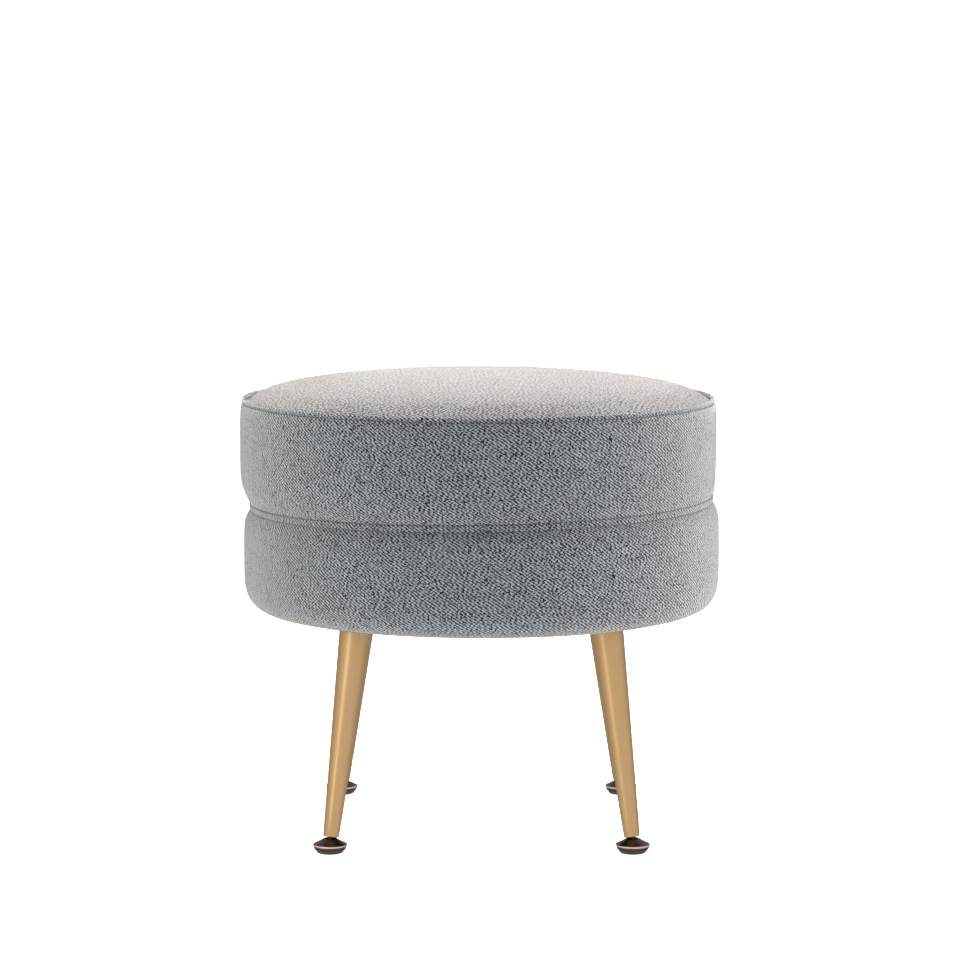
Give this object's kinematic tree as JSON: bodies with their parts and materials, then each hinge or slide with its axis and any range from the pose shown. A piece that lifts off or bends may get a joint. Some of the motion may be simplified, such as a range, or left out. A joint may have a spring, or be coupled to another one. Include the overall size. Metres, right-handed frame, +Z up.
{
  "type": "upholstered ottoman",
  "caption": "Round padded ottoman with a crowned seat and a waist seam, on splayed tapered metal legs with self-levelling screw glides.",
  "frame": {"origin": "on the floor, under the middle of the seat", "axes": "+Z up from the floor, -Y to the front, +X to the right of someone facing the front"},
  "size_m": [0.5, 0.5, 0.478],
  "materials": {
    "cover_cloth": "matte",
    "foam": "matte",
    "wadding": "matte",
    "plywood": "matte",
    "fibreboard": "matte",
    "dust_cloth": "matte",
    "brushed_brass": "satin",
    "zinc_steel": "satin",
    "antique_bronze": "satin",
    "pad_plastic": "matte",
    "ball_plastic": "satin"
  },
  "bodies": {
    "body": {"top_panel": "cover_cloth", "rim_strip": "cover_cloth", "upper_band": "cover_cloth", "waist_strip": "cover_cloth", "lower_band": "cover_cloth", "seat_wadding": "wadding", "seat_foam": "foam", "upper_side_foam": "foam", "lower_side_foam": "foam", "seat_deck": "plywood", "base_board": "plywood", "side_wall": "fibreboard", "waist_ring": "plywood", "upright_1": "plywood", "upright_2": "plywood", "upright_3": "plywood", "upright_4": "plywood", "upright_5": "plywood", "upright_6": "plywood", "deck_screws": "zinc_steel", "base_screws": "zinc_steel", "dust_cover": "dust_cloth", "cover_staples": "zinc_steel", "leg_plate_front_left": "brushed_brass", "leg_plate_front_right": "brushed_brass", "leg_plate_back_right": "brushed_brass", "leg_plate_back_left": "brushed_brass", "plate_screws_front_left": "zinc_steel", "plate_screws_front_right": "zinc_steel", "plate_screws_back_right": "zinc_steel", "plate_screws_back_left": "zinc_steel", "leg_tube_front_left": "brushed_brass", "leg_tube_front_right": "brushed_brass", "leg_tube_back_right": "brushed_brass", "leg_tube_back_left": "brushed_brass", "foot_insert_front_left": "zinc_steel", "foot_insert_front_right": "zinc_steel", "foot_insert_back_right": "zinc_steel", "foot_insert_back_left": "zinc_steel"},
    "ball_front_left": {"swivel_ball_front_left": "ball_plastic"},
    "stem_front_left": {"glide_stem_front_left": "zinc_steel"},
    "base_front_left": {"glide_cap_front_left": "antique_bronze", "glide_pad_front_left": "pad_plastic"},
    "ball_front_right": {"swivel_ball_front_right": "ball_plastic"},
    "stem_front_right": {"glide_stem_front_right": "zinc_steel"},
    "base_front_right": {"glide_cap_front_right": "antique_bronze", "glide_pad_front_right": "pad_plastic"},
    "ball_back_right": {"swivel_ball_back_right": "ball_plastic"},
    "stem_back_right": {"glide_stem_back_right": "zinc_steel"},
    "base_back_right": {"glide_cap_back_right": "antique_bronze", "glide_pad_back_right": "pad_plastic"},
    "ball_back_left": {"swivel_ball_back_left": "ball_plastic"},
    "stem_back_left": {"glide_stem_back_left": "zinc_steel"},
    "base_back_left": {"glide_cap_back_left": "antique_bronze", "glide_pad_back_left": "pad_plastic"}
  },
  "joints": [
    {"name": "height_front_left", "type": "slide", "parent": "body", "child": "ball_front_left", "axis": [-0.1191, -0.1191, -0.9857], "range_m": [0, 0.008]},
    {"name": "screw_front_left", "type": "hinge", "parent": "ball_front_left", "child": "stem_front_left", "pos_m": [-0.15452, -0.15452, 0.0085], "axis": [-0.1191, -0.1191, -0.9857], "range_deg": [0, 2304]},
    {"name": "tilt_front_left", "type": "hinge", "parent": "ball_front_left", "child": "base_front_left", "pos_m": [-0.15452, -0.15452, 0.0085], "axis": [-0.7071, 0.7071, 0], "range_deg": [-4.3, 23.7]},
    {"name": "height_front_right", "type": "slide", "parent": "body", "child": "ball_front_right", "axis": [0.1191, -0.1191, -0.9857], "range_m": [0, 0.008]},
    {"name": "screw_front_right", "type": "hinge", "parent": "ball_front_right", "child": "stem_front_right", "pos_m": [0.15452, -0.15452, 0.0085], "axis": [0.1191, -0.1191, -0.9857], "range_deg": [0, 2304]},
    {"name": "tilt_front_right", "type": "hinge", "parent": "ball_front_right", "child": "base_front_right", "pos_m": [0.15452, -0.15452, 0.0085], "axis": [-0.7071, -0.7071, 0], "range_deg": [-4.3, 23.7]},
    {"name": "height_back_right", "type": "slide", "parent": "body", "child": "ball_back_right", "axis": [0.1191, 0.1191, -0.9857], "range_m": [0, 0.008]},
    {"name": "screw_back_right", "type": "hinge", "parent": "ball_back_right", "child": "stem_back_right", "pos_m": [0.15452, 0.15452, 0.0085], "axis": [0.1191, 0.1191, -0.9857], "range_deg": [0, 2304]},
    {"name": "tilt_back_right", "type": "hinge", "parent": "ball_back_right", "child": "base_back_right", "pos_m": [0.15452, 0.15452, 0.0085], "axis": [0.7071, -0.7071, 0], "range_deg": [-4.3, 23.7]},
    {"name": "height_back_left", "type": "slide", "parent": "body", "child": "ball_back_left", "axis": [-0.1191, 0.1191, -0.9857], "range_m": [0, 0.008]},
    {"name": "screw_back_left", "type": "hinge", "parent": "ball_back_left", "child": "stem_back_left", "pos_m": [-0.15452, 0.15452, 0.0085], "axis": [-0.1191, 0.1191, -0.9857], "range_deg": [0, 2304]},
    {"name": "tilt_back_left", "type": "hinge", "parent": "ball_back_left", "child": "base_back_left", "pos_m": [-0.15452, 0.15452, 0.0085], "axis": [0.7071, 0.7071, 0], "range_deg": [-4.3, 23.7]}
  ],
  "couplings": [
    {"joint": "screw_front_left", "follows": "height_front_left", "rad_per_m": 5026.5},
    {"joint": "screw_front_right", "follows": "height_front_right", "rad_per_m": 5026.5},
    {"joint": "screw_back_right", "follows": "height_back_right", "rad_per_m": 5026.5},
    {"joint": "screw_back_left", "follows": "height_back_left", "rad_per_m": 5026.5}
  ]
}
